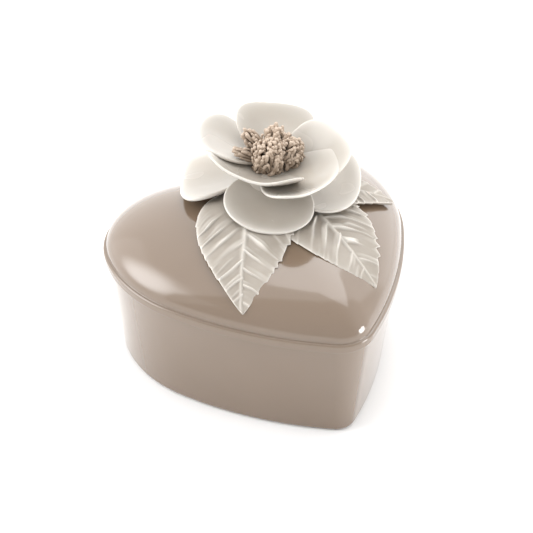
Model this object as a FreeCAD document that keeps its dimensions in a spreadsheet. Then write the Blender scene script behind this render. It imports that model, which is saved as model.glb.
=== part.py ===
import FreeCAD, Part
import math
import os
import Sketcher

# Heart-shaped ceramic trinket box: a tapered base, a domed lid that lifts off,
# and a modelled flower with leaves luted to the top of the lid.
# Millimetres. +Z is up, the box stands on z = 0 and its centre is on x = y = 0.
# The tip of the heart points to -Y and the notch is on the +Y side.

doc = FreeCAD.newDocument("heart_trinket_box")

# ---------------------------------------------------------------------------
# Driving dimensions
# ---------------------------------------------------------------------------

HEART = {
    "heart_width": 120.0,
    "lobe_radius": 33.0,
    "shoulder_radius": 57.0,
    "side_radius": 153.0,
    "tip_radius": 14.5,
    "notch_radius": 7.0,
    "lobe_angle": 10.0,
    "side_angle": 30.0,
    "shoulder_centre_y": 21.15,
}

BOX = {
    "parting_height": 44.6,
    "parting_gap": 0.2,
    "lid_overhang": 1.6,
    "base_taper_angle": 6.2,
    "wall_thickness": 4.0,
    "foot_inset": 12.0,
    "foot_recess": 1.0,
    "foot_rounding": 2.0,
    "floor_rounding": 3.0,
    "rim_rounding": 0.8,
    "band_height": 3.6,
    "band_rounding": 0.9,
    "crease_inset": 1.2,
    "dome_height": 19.0,
    "dome_wall": 4.0,
    "dome_fullness": 2.1,
    "dome_circle_radius": 48.0,
    "dome_circle_share": 0.6,
    "dome_shift_y": 5.0,
    "dome_sink": 1.0,
    "hollow_step": 0.5,
    "lip_depth": 4.0,
    "lip_clearance": 0.8,
    "lip_thickness": 2.2,
}

FLOWER = {
    "flower_x": 6.0,
    "flower_y": 19.0,
    "receptacle_bottom_z": 63.5,
    "receptacle_height": 15.5,
    "receptacle_bottom_radius": 12.0,
    "receptacle_top_radius": 9.0,
    "petal_thickness": 1.5,
    "petal_squareness": 0.9,
    "petal_depth": 26.0,
    "leaf_thickness": 1.5,
    "leaf_depth": 30.0,
    "leaf_taper": 0.75,
    "leaf_fullness": 0.9,
    "leaf_narrowing": 0.15,
}

# A petal grows outward from the flower's centre along its azimuth (degrees from
# +X). "bias" widens it towards its rim and "lean" swings the rim to one side.
# "pitch" tips the rim up and "roll" tips one side down. It starts at "start"
# from the centre, at height "level".
PETAL_FIELDS = ("azimuth", "length", "width", "bias", "lean", "cup", "pitch", "roll",
                "start", "level")
PETALS = {
    "upper_petal_1": (127.0, 28.0, 32.5, 0.30, 0.23, 55.0, 1.0, 16.0, 2.3, 79.9),
    "upper_petal_2": (58.0, 26.5, 29.5, 0.36, 0.13, 47.0, 6.5, 15.5, 2.4, 78.5),
    "upper_petal_3": (-22.5, 28.0, 30.0, 0.27, 0.28, 34.0, 4.5, 18.0, 2.0, 75.8),
    "upper_petal_4": (-76.5, 28.0, 37.0, 0.27, 0.21, 41.0, -10.0, 4.0, 2.5, 80.2),
    "upper_petal_5": (-139.0, 22.5, 36.8, 0.31, -0.07, 31.0, -1.0, -4.0, 2.1, 78.8),
    "lower_petal_1": (137.0, 31.0, 36.0, 0.50, 0.25, 94.0, -26.0, 7.0, 6.0, 73.7),
    "lower_petal_2": (-120.0, 31.0, 34.5, 0.00, -0.09, 68.0, -22.5, -3.5, 1.0, 75.0),
    "lower_petal_3": (-33.0, 31.5, 36.5, 0.36, -0.04, 68.0, -15.0, 2.6, 3.3, 72.1),
    "lower_petal_4": (55.0, 31.0, 35.0, 0.35, 0.00, 68.0, -15.0, 0.0, 3.0, 72.5),
}

# A leaf lies over the dome, so it is humped: "hump" is the radius of its bend
# and "crest" is how far along the leaf its highest point lies.
LEAF_FIELDS = ("azimuth", "length", "width", "hump", "crest", "pitch", "roll",
               "base_x", "base_y", "base_z")
LEAVES = {
    "leaf_front_left": (-120.0, 63.0, 39.0, 78.0, 35.0, -13.5, 1.6, -1.4, 23.4, 66.8),
    "leaf_front_right": (-84.5, 58.0, 37.0, 66.0, 33.0, -11.0, -3.0, 11.5, 15.0, 63.5),
    "leaf_back_right": (-27.0, 47.0, 27.0, 90.0, 10.0, -4.0, 0.0, 8.0, 18.0, 69.5),
}

# A stamen clump is an egg-shaped bundle that leans away from the flower's centre.
CLUMP_FIELDS = ("x", "y", "z", "radius", "reach", "lean", "azimuth")
CLUMPS = {
    "stamen_clump_front": (4.0, 15.4, 84.6, 6.0, 7.2, 20.0, -120.0),
    "stamen_clump_right": (12.0, 14.6, 84.2, 5.2, 6.6, 25.0, -30.0),
    "stamen_clump_rear": (9.6, 20.2, 85.4, 5.0, 7.8, 8.0, 60.0),
    "stamen_tuft_left": (-2.8, 20.6, 84.8, 2.0, 6.5, 68.0, 155.0),
    "stamen_tuft_back_left": (2.8, 22.8, 85.6, 3.0, 8.0, 38.0, 142.0),
}

sheet = doc.addObject("Spreadsheet::Sheet", "Dimensions")
VALUES = {}


def add_dimension(alias, value):
    """Put one named dimension on the next row of the sheet."""
    row = len(VALUES) + 1
    sheet.set(f"A{row}", alias)
    sheet.set(f"B{row}", str(value))
    sheet.setAlias(f"B{row}", alias)
    VALUES[alias] = value


def add_table(table, fields):
    """Give every value of a table of pieces a cell named after piece and field."""
    for piece, values in table.items():
        for field, value in zip(fields, values):
            add_dimension(f"{piece}_{field}", value)


for group in (HEART, BOX, FLOWER):
    for alias, value in group.items():
        add_dimension(alias, value)
add_table(PETALS, PETAL_FIELDS)
add_table(LEAVES, LEAF_FIELDS)
add_table(CLUMPS, CLUMP_FIELDS)
doc.recompute()


def size(alias):
    """The value of a cell of the sheet, read back as a number."""
    return float(sheet.get(alias))


def cells(expression):
    """An expression over the sheet: each alias gets the sheet's name in front."""
    words = []
    for word in expression.split():
        words.append(f"Dimensions.{word}" if word in VALUES else word)
    return " ".join(words)


def bind(thing, **expressions):
    """Bind properties of a document object to the sheet."""
    for name, expression in expressions.items():
        thing.setExpression(name, cells(expression))


# ---------------------------------------------------------------------------
# The heart outline: eight tangent arcs, mirrored about the Y axis
# ---------------------------------------------------------------------------

BASE_TOP_INSET = size("lid_overhang")
CAVITY_INSET = BASE_TOP_INSET + size("wall_thickness")
LIP_INSET = CAVITY_INSET + size("lip_clearance")
HOLLOW_INSET = LIP_INSET + size("lip_thickness")


def heart_arcs(inset, scale=1.0):
    """The arcs of the heart, moved inward by the inset: (centre, radius, start, end)."""
    lobe_angle = math.radians(size("lobe_angle"))
    side_angle = math.radians(-size("side_angle"))
    lobe = size("lobe_radius")
    shoulder = size("shoulder_radius")
    side = size("side_radius")
    tip = size("tip_radius")
    notch = size("notch_radius")
    shoulder_x = size("heart_width") / 2 - shoulder
    shoulder_y = size("shoulder_centre_y")
    lobe_x = shoulder_x + (shoulder - lobe) * math.cos(lobe_angle)
    lobe_y = shoulder_y + (shoulder - lobe) * math.sin(lobe_angle)
    side_x = shoulder_x - (side - shoulder) * math.cos(side_angle)
    side_y = shoulder_y - (side - shoulder) * math.sin(side_angle)
    tip_y = side_y - math.sqrt((side - tip) ** 2 - side_x ** 2)
    notch_y = lobe_y + math.sqrt((lobe + notch) ** 2 - lobe_x ** 2)
    tip_end = math.atan2(tip_y - side_y, -side_x)
    lobe_end = math.atan2(notch_y - lobe_y, -lobe_x)
    notch_end = lobe_end - math.pi
    turn = math.pi
    arcs = [
        ((0.0, tip_y), tip - inset, -turn - tip_end, tip_end),
        ((side_x, side_y), side - inset, tip_end, side_angle),
        ((shoulder_x, shoulder_y), shoulder - inset, side_angle, lobe_angle),
        ((lobe_x, lobe_y), lobe - inset, lobe_angle, lobe_end),
        ((0.0, notch_y), notch + inset, -turn - notch_end, notch_end),
        ((-lobe_x, lobe_y), lobe - inset, turn - lobe_end, turn - lobe_angle),
        ((-shoulder_x, shoulder_y), shoulder - inset, turn - lobe_angle, turn - side_angle),
        ((-side_x, side_y), side - inset, turn - side_angle, turn - tip_end),
    ]
    return [((scale * x, scale * y), scale * radius, start, end)
            for (x, y), radius, start, end in arcs]


TIP, SIDE_R, SHOULDER_R, LOBE_R, NOTCH, LOBE_L, SHOULDER_L, SIDE_L = range(8)
START, END, CENTRE = 1, 2, 3
ORIGIN = (-1, 1)
JOINS = [
    (TIP, END, SIDE_R, START),
    (SIDE_R, END, SHOULDER_R, START),
    (SHOULDER_R, END, LOBE_R, START),
    (LOBE_R, END, NOTCH, END),
    (NOTCH, START, LOBE_L, START),
    (LOBE_L, END, SHOULDER_L, START),
    (SHOULDER_L, END, SIDE_L, START),
    (SIDE_L, END, TIP, START),
]
SHOULDER_X = "heart_width / 2 - shoulder_radius"
LOBE_REACH = "( shoulder_radius - lobe_radius )"
SIDE_REACH = "( side_radius - shoulder_radius )"


def plane(body, role):
    """One of the body's own origin planes."""
    for feature in body.Origin.OriginFeatures:
        if feature.Role == role:
            return feature
    raise ValueError(role)


def plain_value(expression):
    """The number that a plain expression over the sheet comes to."""
    words = [str(size(word)) if word in VALUES else word for word in expression.split()]
    total = FreeCAD.Units.Quantity(" ".join(words))
    return float(total.Value)


def heart_sketch(body, name, height, inset, scale="1"):
    """A heart in the plane z = height of a body. Height, inset and scale are
    expressions over the sheet, and the scale shrinks the heart about its centre."""
    sketch = body.newObject("Sketcher::SketchObject", name)
    sketch.AttachmentSupport = (plane(body, "XY_Plane"), [""])
    sketch.MapMode = "FlatFace"
    sketch.setExpression(".AttachmentOffset.Base.z", cells(height))
    inset_value = plain_value(inset)
    scale_value = plain_value(scale)
    for (x, y), radius, start, end in heart_arcs(inset_value, scale_value):
        circle = Part.Circle(FreeCAD.Vector(x, y, 0), FreeCAD.Vector(0, 0, 1), radius)
        sketch.addGeometry(Part.ArcOfCircle(circle, start, end))
    for first, first_end, second, second_end in JOINS:
        sketch.addConstraint(
            Sketcher.Constraint("Tangent", first, first_end, second, second_end))

    def dimension(kind, arguments, value, expression):
        index = sketch.addConstraint(Sketcher.Constraint(kind, *arguments, value))
        sketch.setExpression(f"Constraints[{index}]", cells(f"( {expression} ) * ( {scale} )"))

    radii = [
        (TIP, f"tip_radius - ( {inset} )"),
        (SIDE_R, f"side_radius - ( {inset} )"),
        (SHOULDER_R, f"shoulder_radius - ( {inset} )"),
        (LOBE_R, f"lobe_radius - ( {inset} )"),
        (NOTCH, f"notch_radius + ( {inset} )"),
    ]
    for arc, expression in radii:
        dimension("Radius", (arc,), sketch.Geometry[arc].Radius, expression)
    for right, left in ((SIDE_R, SIDE_L), (SHOULDER_R, SHOULDER_L), (LOBE_R, LOBE_L)):
        sketch.addConstraint(Sketcher.Constraint("Equal", right, left))
    for arc in (TIP, NOTCH):
        sketch.addConstraint(Sketcher.Constraint("PointOnObject", arc, CENTRE, -2))
    lobe_x = f"{SHOULDER_X} + {LOBE_REACH} * cos( lobe_angle * 1deg )"
    side_x = f"{SIDE_REACH} * cos( side_angle * 1deg ) - ( {SHOULDER_X} )"
    across = [(SHOULDER_R, SHOULDER_L, SHOULDER_X), (LOBE_R, LOBE_L, lobe_x)]
    for right, left, expression in across:
        reach = sketch.Geometry[right].Center.x
        dimension("DistanceX", (*ORIGIN, right, CENTRE), reach, expression)
        dimension("DistanceX", (left, CENTRE, *ORIGIN), reach, expression)
    dimension("DistanceX", (SIDE_R, CENTRE, *ORIGIN), -sketch.Geometry[SIDE_R].Center.x, side_x)
    dimension("DistanceY", (*ORIGIN, SHOULDER_R, CENTRE),
              sketch.Geometry[SHOULDER_R].Center.y, "shoulder_centre_y")
    return sketch


# ---------------------------------------------------------------------------
# Small helpers
# ---------------------------------------------------------------------------

FLATNESS = 0.001
LEAST_CUT = 1.0


def edges_at(feature, height):
    """Names of the feature's edges that lie flat at one height."""
    names = []
    for number, edge in enumerate(feature.Shape.Edges, start=1):
        box = edge.BoundBox
        if abs(box.ZMin - height) < FLATNESS and abs(box.ZMax - height) < FLATNESS:
            names.append(f"Edge{number}")
    return names


def rounded(body, name, feature, heights, radius):
    """Round the edges of a feature that lie at the given heights."""
    doc.recompute()
    names = []
    for height in heights:
        names.extend(edges_at(feature, height))
    fillet = body.newObject("PartDesign::Fillet", name)
    fillet.Base = (feature, names)
    bind(fillet, Radius=radius)
    body.Tip = fillet
    doc.recompute()
    return fillet


def pad(body, name, sketch, length):
    """Pad a sketch upward."""
    feature = body.newObject("PartDesign::Pad", name)
    feature.Profile = sketch
    bind(feature, Length=length)
    body.Tip = feature
    doc.recompute()
    return feature


def is_flat(face):
    """Whether a face is a plane."""
    return isinstance(face.Surface, Part.Plane)


def is_top(face):
    """Whether a face of the base is its flat top."""
    return is_flat(face) and face.BoundBox.ZMin > size("foot_recess")


def faces_where(feature, test):
    """Names of the feature's faces that pass a test."""
    return [f"Face{number}" for number, face in enumerate(feature.Shape.Faces, start=1)
            if test(face)]


def piece_body(name):
    """An empty body for one piece, or for one stage of a piece."""
    body = doc.addObject("PartDesign::Body", name)
    body.Label = name
    return body


def expect_less(body, before, name):
    """A cut that points away from the solid leaves the volume as it was."""
    if body.Shape.Volume > before - LEAST_CUT:
        raise RuntimeError(f"{name} removed nothing")


# ---------------------------------------------------------------------------
# Base: a tapered heart-shaped cup with a recessed foot
# ---------------------------------------------------------------------------

def make_base():
    body = piece_body("box_base")
    outline = heart_sketch(body, "base_outline", "0", "lid_overhang")
    straight = pad(body, "straight_wall", outline, "parting_height - parting_gap")

    before = body.Shape.Volume
    taper = body.newObject("PartDesign::Draft", "wall_taper")
    taper.Base = (straight, faces_where(straight, lambda face: not is_flat(face)))
    taper.NeutralPlane = (straight, faces_where(straight, is_top))
    taper.Reversed = True
    bind(taper, Angle="base_taper_angle")
    body.Tip = taper
    doc.recompute()
    expect_less(body, before, "wall taper")

    before = body.Shape.Volume
    cup = body.newObject("PartDesign::Thickness", "cavity")
    cup.Base = (taper, faces_where(taper, is_top))
    cup.Reversed = True
    bind(cup, Value="wall_thickness")
    body.Tip = cup
    doc.recompute()
    expect_less(body, before, "cavity")

    rim_height = size("parting_height") - size("parting_gap")
    foot = rounded(body, "foot_fillet", cup, [0.0], "foot_rounding")
    floor = rounded(body, "floor_fillet", foot, [size("wall_thickness")], "floor_rounding")
    rounded(body, "rim_fillet", floor, [rim_height], "rim_rounding")

    before = body.Shape.Volume
    recess_outline = heart_sketch(body, "recess_outline", "0", "foot_inset")
    recess = body.newObject("PartDesign::Pocket", "foot_recess_pocket")
    recess.Profile = recess_outline
    recess.Reversed = True
    bind(recess, Length="foot_recess")
    body.Tip = recess
    doc.recompute()
    expect_less(body, before, "foot recess")
    return body


# ---------------------------------------------------------------------------
# Lid: a straight band, a puffed dome and a locating lip, hollow inside
# ---------------------------------------------------------------------------

POINTS_PER_ARC = 6
DOME_LEVELS = 9


def outline_points(inset):
    """Points once round the heart, the same number on each of its arcs."""
    points = []
    for number, ((x, y), radius, start, end) in enumerate(heart_arcs(inset)):
        if number == NOTCH:
            start, end = end, start
        for step in range(POINTS_PER_ARC):
            angle = start + (end - start) * step / POINTS_PER_ARC
            points.append((x + radius * math.cos(angle), y + radius * math.sin(angle)))
    return points


def closed_curve(points):
    """A smooth closed wire through points."""
    curve = Part.BSplineCurve()
    curve.interpolate(Points=[FreeCAD.Vector(*point) for point in points], PeriodicFlag=True)
    return Part.Wire([curve.toShape()])


def dome_curve(inset, turn, rise):
    """The dome's outline where its section has turned from upright (0) towards
    level (90 degrees). It shrinks like a superellipse, and grows rounder."""
    power = 2 / size("dome_fullness")
    reach = math.cos(turn) ** power
    height = size("parting_height") + size("band_height") + rise * math.sin(turn) ** power
    share = size("dome_circle_share") * (1 - reach)
    circle = size("dome_circle_radius") - (inset - size("crease_inset"))
    points = []
    for x, y in outline_points(inset):
        away = math.hypot(x, y)
        grow = (1 - share) + share * circle / away
        points.append((reach * grow * x,
                       reach * grow * y + size("dome_shift_y") * (1 - reach),
                       height))
    return points


def make_dome(name, inset, rise):
    """A solid dome through heart-shaped sections, started a little way down."""
    start = dome_curve(inset, 0.0, rise)
    sink = size("dome_sink")
    curves = [closed_curve([(x, y, z - sink) for x, y, z in start])]
    for level in range(DOME_LEVELS):
        turn = math.radians(90) * level / DOME_LEVELS
        curves.append(closed_curve(dome_curve(inset, turn, rise)))
    dome = doc.addObject("Part::Feature", name)
    dome.Shape = Part.makeLoft(curves, True, False)
    return dome


def make_lid():
    band = piece_body("lid_band")
    band_outline = heart_sketch(band, "band_outline", "parting_height", "0")
    band_pad = pad(band, "band_pad", band_outline, "band_height")
    bottom = size("parting_height")
    rounded(band, "band_fillet", band_pad, [bottom, bottom + size("band_height")],
            "band_rounding")

    lip_inset = "lid_overhang + wall_thickness + lip_clearance"
    lip_level = "parting_height - lip_depth"
    lip = piece_body("lid_lip")
    lip_outline = heart_sketch(lip, "lip_outline", lip_level, lip_inset)
    pad(lip, "lip_pad", lip_outline, "lip_depth + band_height / 2")

    hollow = piece_body("lid_hollow")
    hollow_outline = heart_sketch(hollow, "hollow_outline", lip_level,
                                  f"{lip_inset} + lip_thickness")
    pad(hollow, "hollow_pad", hollow_outline, "lip_depth + band_height")

    dome = make_dome("lid_dome", size("crease_inset"), size("dome_height"))
    dome_hollow = make_dome("lid_dome_hollow", HOLLOW_INSET + size("hollow_step"),
                            size("dome_height") - size("dome_wall"))

    outside = doc.addObject("Part::MultiFuse", "lid_outside")
    outside.Shapes = [band, lip, dome]
    inside = doc.addObject("Part::MultiFuse", "lid_inside")
    inside.Shapes = [hollow, dome_hollow]
    lid = doc.addObject("Part::Cut", "lid_shell")
    lid.Base = outside
    lid.Tool = inside
    lid.Label = "lid_shell"
    doc.recompute()
    return lid


# ---------------------------------------------------------------------------
# Petals and leaves: a bent sheet, cut from a spherical shell by an outline
# ---------------------------------------------------------------------------

OUTLINE_STEPS = 24


def petal_outline(piece):
    """Closed outline of a petal, in its own plane: it grows along +Y from the origin."""
    length = size(f"{piece}_length")
    half_width = size(f"{piece}_width") / 2
    points = []
    for step in range(OUTLINE_STEPS):
        angle = 2 * math.pi * step / OUTLINE_STEPS
        along = (1 - math.cos(angle)) / 2
        swell = abs(math.sin(angle)) ** size("petal_squareness")
        swell *= 1 - size(f"{piece}_bias") * math.cos(angle)
        x = math.copysign(half_width * swell, math.sin(angle))
        points.append((x, length * along + size(f"{piece}_lean") * x * along, 0))
    return closed_curve(points)


def leaf_outline(piece):
    """Pointed outline of a leaf: two edges that meet at its base and its tip."""
    length = size(f"{piece}_length")
    half_width = size(f"{piece}_width") / 2
    edges = []
    for side in (1, -1):
        points = []
        for step in range(OUTLINE_STEPS // 2 + 1):
            along = step / (OUTLINE_STEPS // 2)
            swell = max(0.0, math.sin(math.pi * along ** size("leaf_taper")))
            swell = swell ** size("leaf_fullness")
            swell *= 1 - size("leaf_narrowing") * along
            points.append(FreeCAD.Vector(side * half_width * swell, length * along, 0))
        curve = Part.BSplineCurve()
        curve.interpolate(Points=points)
        edges.append(curve.toShape())
    return Part.Wire(edges)


def ball(name, radius, centre):
    """A sphere with its poles turned to the sides, out of the sheet's way."""
    sphere = doc.addObject("Part::Sphere", name)
    bind(sphere, Radius=radius)
    sphere.Placement = FreeCAD.Placement(
        centre, FreeCAD.Rotation(FreeCAD.Vector(1, 0, 0), 90))
    return sphere


def bent_sheet(piece, outline, outer, inner, centre, bottom, depth):
    """The part of a spherical shell that stands over an outline."""
    face = doc.addObject("Part::Feature", f"{piece}_outline")
    face.Shape = Part.Face(outline)
    face.Placement = FreeCAD.Placement(
        FreeCAD.Vector(0, 0, bottom), FreeCAD.Rotation())
    prism = doc.addObject("Part::Extrusion", f"{piece}_prism")
    prism.Base = face
    prism.DirMode = "Custom"
    prism.Dir = FreeCAD.Vector(0, 0, 1)
    prism.Solid = True
    bind(prism, LengthFwd=depth)
    shell = doc.addObject("Part::Cut", f"{piece}_shell")
    shell.Base = ball(f"{piece}_outer_ball", outer, centre)
    shell.Tool = ball(f"{piece}_inner_ball", inner, centre)
    sheet_piece = doc.addObject("Part::MultiCommon", piece)
    sheet_piece.Shapes = [shell, prism]
    sheet_piece.Label = piece
    return sheet_piece


def aimed(piece, base):
    """Placement of a petal or leaf: roll about its length, pitch, then azimuth."""
    turn = FreeCAD.Rotation(FreeCAD.Vector(0, 0, 1), size(f"{piece}_azimuth") - 90)
    pitch = FreeCAD.Rotation(FreeCAD.Vector(1, 0, 0), size(f"{piece}_pitch"))
    roll = FreeCAD.Rotation(FreeCAD.Vector(0, 1, 0), size(f"{piece}_roll"))
    return FreeCAD.Placement(base, turn * pitch * roll)


def make_petal(piece):
    """A cupped petal, bent upward all round from where it starts."""
    centre = FreeCAD.Vector(0, 0, size(f"{piece}_cup"))
    petal = bent_sheet(piece, petal_outline(piece), f"{piece}_cup + petal_thickness",
                       f"{piece}_cup", centre, -2 * size("petal_thickness"), "petal_depth")
    azimuth = math.radians(size(f"{piece}_azimuth"))
    start = size(f"{piece}_start")
    petal.Placement = aimed(piece, FreeCAD.Vector(
        size("flower_x") + start * math.cos(azimuth),
        size("flower_y") + start * math.sin(azimuth),
        size(f"{piece}_level")))
    return petal


def make_leaf(piece):
    """A humped leaf, bent downward all round from its crest."""
    hump = size(f"{piece}_hump")
    crest = size(f"{piece}_crest")
    centre = FreeCAD.Vector(0, crest, -math.sqrt(hump ** 2 - crest ** 2))
    leaf = bent_sheet(piece, leaf_outline(piece), f"{piece}_hump",
                      f"{piece}_hump - leaf_thickness", centre,
                      -size("leaf_depth") / 2, "leaf_depth")
    leaf.Placement = aimed(piece, FreeCAD.Vector(
        size(f"{piece}_base_x"), size(f"{piece}_base_y"), size(f"{piece}_base_z")))
    return leaf


# ---------------------------------------------------------------------------
# Flower centre: the receptacle and the clumps of stamens
# ---------------------------------------------------------------------------

def make_receptacle():
    """The lump of clay under the petals."""
    piece = doc.addObject("Part::Cone", "flower_receptacle")
    piece.Label = "flower_receptacle"
    bind(piece, Radius1="receptacle_bottom_radius", Radius2="receptacle_top_radius",
         Height="receptacle_height")
    piece.Placement = FreeCAD.Placement(
        FreeCAD.Vector(size("flower_x"), size("flower_y"), size("receptacle_bottom_z")),
        FreeCAD.Rotation())
    return piece


def make_clump(name):
    """An egg-shaped bundle of stamens, leaning over about its middle."""
    piece = doc.addObject("Part::Ellipsoid", name)
    piece.Label = name
    bind(piece, Radius1=f"{name}_reach", Radius2=f"{name}_radius", Radius3=f"{name}_radius")
    azimuth = math.radians(size(f"{name}_azimuth"))
    hinge = FreeCAD.Vector(-math.sin(azimuth), math.cos(azimuth), 0)
    piece.Placement = FreeCAD.Placement(
        FreeCAD.Vector(size(f"{name}_x"), size(f"{name}_y"), size(f"{name}_z")),
        FreeCAD.Rotation(hinge, size(f"{name}_lean")))
    return piece


# ---------------------------------------------------------------------------
# Build, check and write
# ---------------------------------------------------------------------------

pieces = [make_base(), make_lid(), make_receptacle()]
for name in PETALS:
    pieces.append(make_petal(name))
for name in LEAVES:
    pieces.append(make_leaf(name))
for name in CLUMPS:
    pieces.append(make_clump(name))
doc.recompute()

for thing in doc.Objects:
    if "Invalid" in thing.State or "Error" in thing.State:
        raise RuntimeError(f"{thing.Name} failed: {thing.State}")
for piece in pieces:
    if piece.Shape.isNull() or not piece.Shape.isValid():
        raise RuntimeError(f"{piece.Label} has no valid shape")
    if len(piece.Shape.Solids) != 1:
        raise RuntimeError(f"{piece.Label} is {len(piece.Shape.Solids)} solids")

os.makedirs("parts", exist_ok=True)
for piece in pieces:
    piece.Shape.exportStep(os.path.join("parts", f"{piece.Label}.step"))
    box = piece.Shape.BoundBox
    print(f"{piece.Label}: {piece.Shape.Volume / 1000:.1f} cm3, "
          f"z {box.ZMin:.1f} to {box.ZMax:.1f}")
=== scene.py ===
import math
from collections import namedtuple

import bpy
import numpy as np
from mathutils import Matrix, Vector


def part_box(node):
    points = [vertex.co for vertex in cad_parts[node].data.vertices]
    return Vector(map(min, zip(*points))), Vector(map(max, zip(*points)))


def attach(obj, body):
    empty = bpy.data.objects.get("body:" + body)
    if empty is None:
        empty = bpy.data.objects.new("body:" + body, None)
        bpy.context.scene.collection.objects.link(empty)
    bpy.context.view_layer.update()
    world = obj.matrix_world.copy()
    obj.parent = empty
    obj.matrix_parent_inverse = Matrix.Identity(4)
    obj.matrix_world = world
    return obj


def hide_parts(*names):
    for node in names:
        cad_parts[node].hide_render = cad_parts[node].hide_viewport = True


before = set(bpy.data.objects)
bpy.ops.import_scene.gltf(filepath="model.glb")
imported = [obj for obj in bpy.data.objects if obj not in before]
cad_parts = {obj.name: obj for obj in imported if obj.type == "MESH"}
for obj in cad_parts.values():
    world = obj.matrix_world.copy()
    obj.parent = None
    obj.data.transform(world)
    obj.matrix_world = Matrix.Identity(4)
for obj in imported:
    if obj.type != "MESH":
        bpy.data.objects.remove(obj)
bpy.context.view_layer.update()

# Shapes are worked out in millimetres, in the frame of the CAD part, and turned
# into metres in one place, new_mesh().
MM = 0.001

# ---------------------------------------------------------------------------
# Driving dimensions, in millimetres and degrees
# ---------------------------------------------------------------------------


def cad_heights(node):
    """Lowest and highest level of a CAD node, in millimetres."""
    low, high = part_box(node)
    return low[2] / MM, high[2] / MM


lid_foot, lid_top = cad_heights("lid_shell")

# The heart is eight arcs: a tip, two sides, two shoulders, two lobes and a notch.
LOBE_RADIUS = 33.0
SHOULDER_RADIUS = 57.0
SIDE_RADIUS = 153.0
TIP_RADIUS = 14.5
NOTCH_RADIUS = 7.0
LOBE_ANGLE = math.radians(10)
SIDE_ANGLE = math.radians(-30)
SHOULDER_X = 3.0
SHOULDER_Y = 21.15

PARTING_GAP = 0.2
RIM_HEIGHT = cad_heights("box_base")[1]
PARTING_HEIGHT = RIM_HEIGHT + PARTING_GAP
LID_OVERHANG = 1.6
BASE_TAPER = math.tan(math.radians(6.2))
WALL = 4.0
FOOT_ROUNDING = 2.0
FLOOR_ROUNDING = 3.0
FOOT_INSET = 12.0
FOOT_EDGE = 0.3
FOOT_RECESS = 1.0
RECESS_EDGE = 0.4
RECESS_RING = 2.0
RIM_ROUNDING = 0.8
BAND_HEIGHT = 3.6
BAND_ROUNDING = 0.9
BAND_FOOT_ROUNDING = 0.45
CREASE_INSET = 1.2
DOME_HEIGHT = lid_top - PARTING_HEIGHT - BAND_HEIGHT
DOME_WALL = 4.0
DOME_FULLNESS = 2.1
DOME_CIRCLE_RADIUS = 48.0
DOME_CIRCLE_SHARE = 0.6
DOME_SHIFT_Y = 5.0
LIP_DEPTH = PARTING_HEIGHT - lid_foot
LIP_CLEARANCE = 0.8
LIP_THICKNESS = 2.2
LIP_EDGE = 0.5
CORNER_RELIEF = 0.2

FLOWER = np.array([6.0, 19.0, 0.0])
PETAL_THICKNESS = 1.5
LEAF_THICKNESS = 1.5
PETAL_SQUARENESS = 0.9

# A petal grows from the flower's axis at an azimuth, start millimetres out and at
# a level. Its bias widens the outer end, its lean skews it sideways and its cup is
# the radius of its bowl.
Petal = namedtuple("Petal", "azimuth length width bias lean cup pitch roll start level")
PETALS = {
    "upper_petal_1": Petal(127.0, 28.0, 32.5, 0.30, 0.23, 55.0, 1.0, 16.0, 2.3, 79.9),
    "upper_petal_2": Petal(58.0, 26.5, 29.5, 0.36, 0.13, 47.0, 6.5, 15.5, 2.4, 78.5),
    "upper_petal_3": Petal(-22.5, 28.0, 30.0, 0.27, 0.28, 34.0, 4.5, 18.0, 2.0, 75.8),
    "upper_petal_4": Petal(-76.5, 28.0, 37.0, 0.27, 0.21, 41.0, -10.0, 4.0, 2.5, 80.2),
    "upper_petal_5": Petal(-139.0, 22.5, 36.8, 0.31, -0.07, 31.0, -1.0, -4.0, 2.1, 78.8),
    "lower_petal_1": Petal(137.0, 31.0, 36.0, 0.50, 0.25, 94.0, -26.0, 7.0, 6.0, 73.7),
    "lower_petal_2": Petal(-120.0, 31.0, 34.5, 0.00, -0.09, 68.0, -22.5, -3.5, 1.0, 75.0),
    "lower_petal_3": Petal(-33.0, 31.5, 36.5, 0.36, -0.04, 68.0, -15.0, 2.6, 3.3, 72.1),
    "lower_petal_4": Petal(55.0, 31.0, 35.0, 0.35, 0.00, 68.0, -15.0, 0.0, 3.0, 72.5),
}

# A leaf grows from its base at an azimuth. Its hump is the radius that it bends
# over and its crest is how far along it is highest.
Leaf = namedtuple("Leaf", "azimuth length width hump crest pitch roll x y z")
LEAVES = {
    "leaf_front_left": Leaf(-120.0, 63.0, 39.0, 78.0, 35.0, -13.5, 1.6, -1.4, 23.4, 66.8),
    "leaf_front_right": Leaf(-84.5, 58.0, 37.0, 66.0, 33.0, -11.0, -3.0, 11.5, 15.0, 63.5),
    "leaf_back_right": Leaf(-27.0, 47.0, 27.0, 90.0, 10.0, -4.0, 0.0, 8.0, 18.0, 69.5),
}

# A clump is an egg of strands: its radius, its reach along its own axis, and how
# far and which way that axis leans.
Clump = namedtuple("Clump", "x y z radius reach lean azimuth strands")
CLUMPS = {
    "stamen_clump_front": Clump(4.0, 15.4, 84.6, 6.0, 7.2, 20.0, -120.0, 190),
    "stamen_clump_right": Clump(12.0, 14.6, 84.2, 5.2, 6.6, 25.0, -30.0, 150),
    "stamen_clump_rear": Clump(9.6, 20.2, 85.4, 5.0, 7.8, 8.0, 60.0, 130),
    "stamen_tuft_left": Clump(-2.8, 20.6, 84.8, 2.0, 6.5, 68.0, 155.0, 16),
    "stamen_tuft_back_left": Clump(2.8, 22.8, 85.6, 3.0, 8.0, 38.0, 142.0, 34),
}
STRAND_RADIUS = 0.5

# ---------------------------------------------------------------------------
# Mesh helpers
# ---------------------------------------------------------------------------


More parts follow.
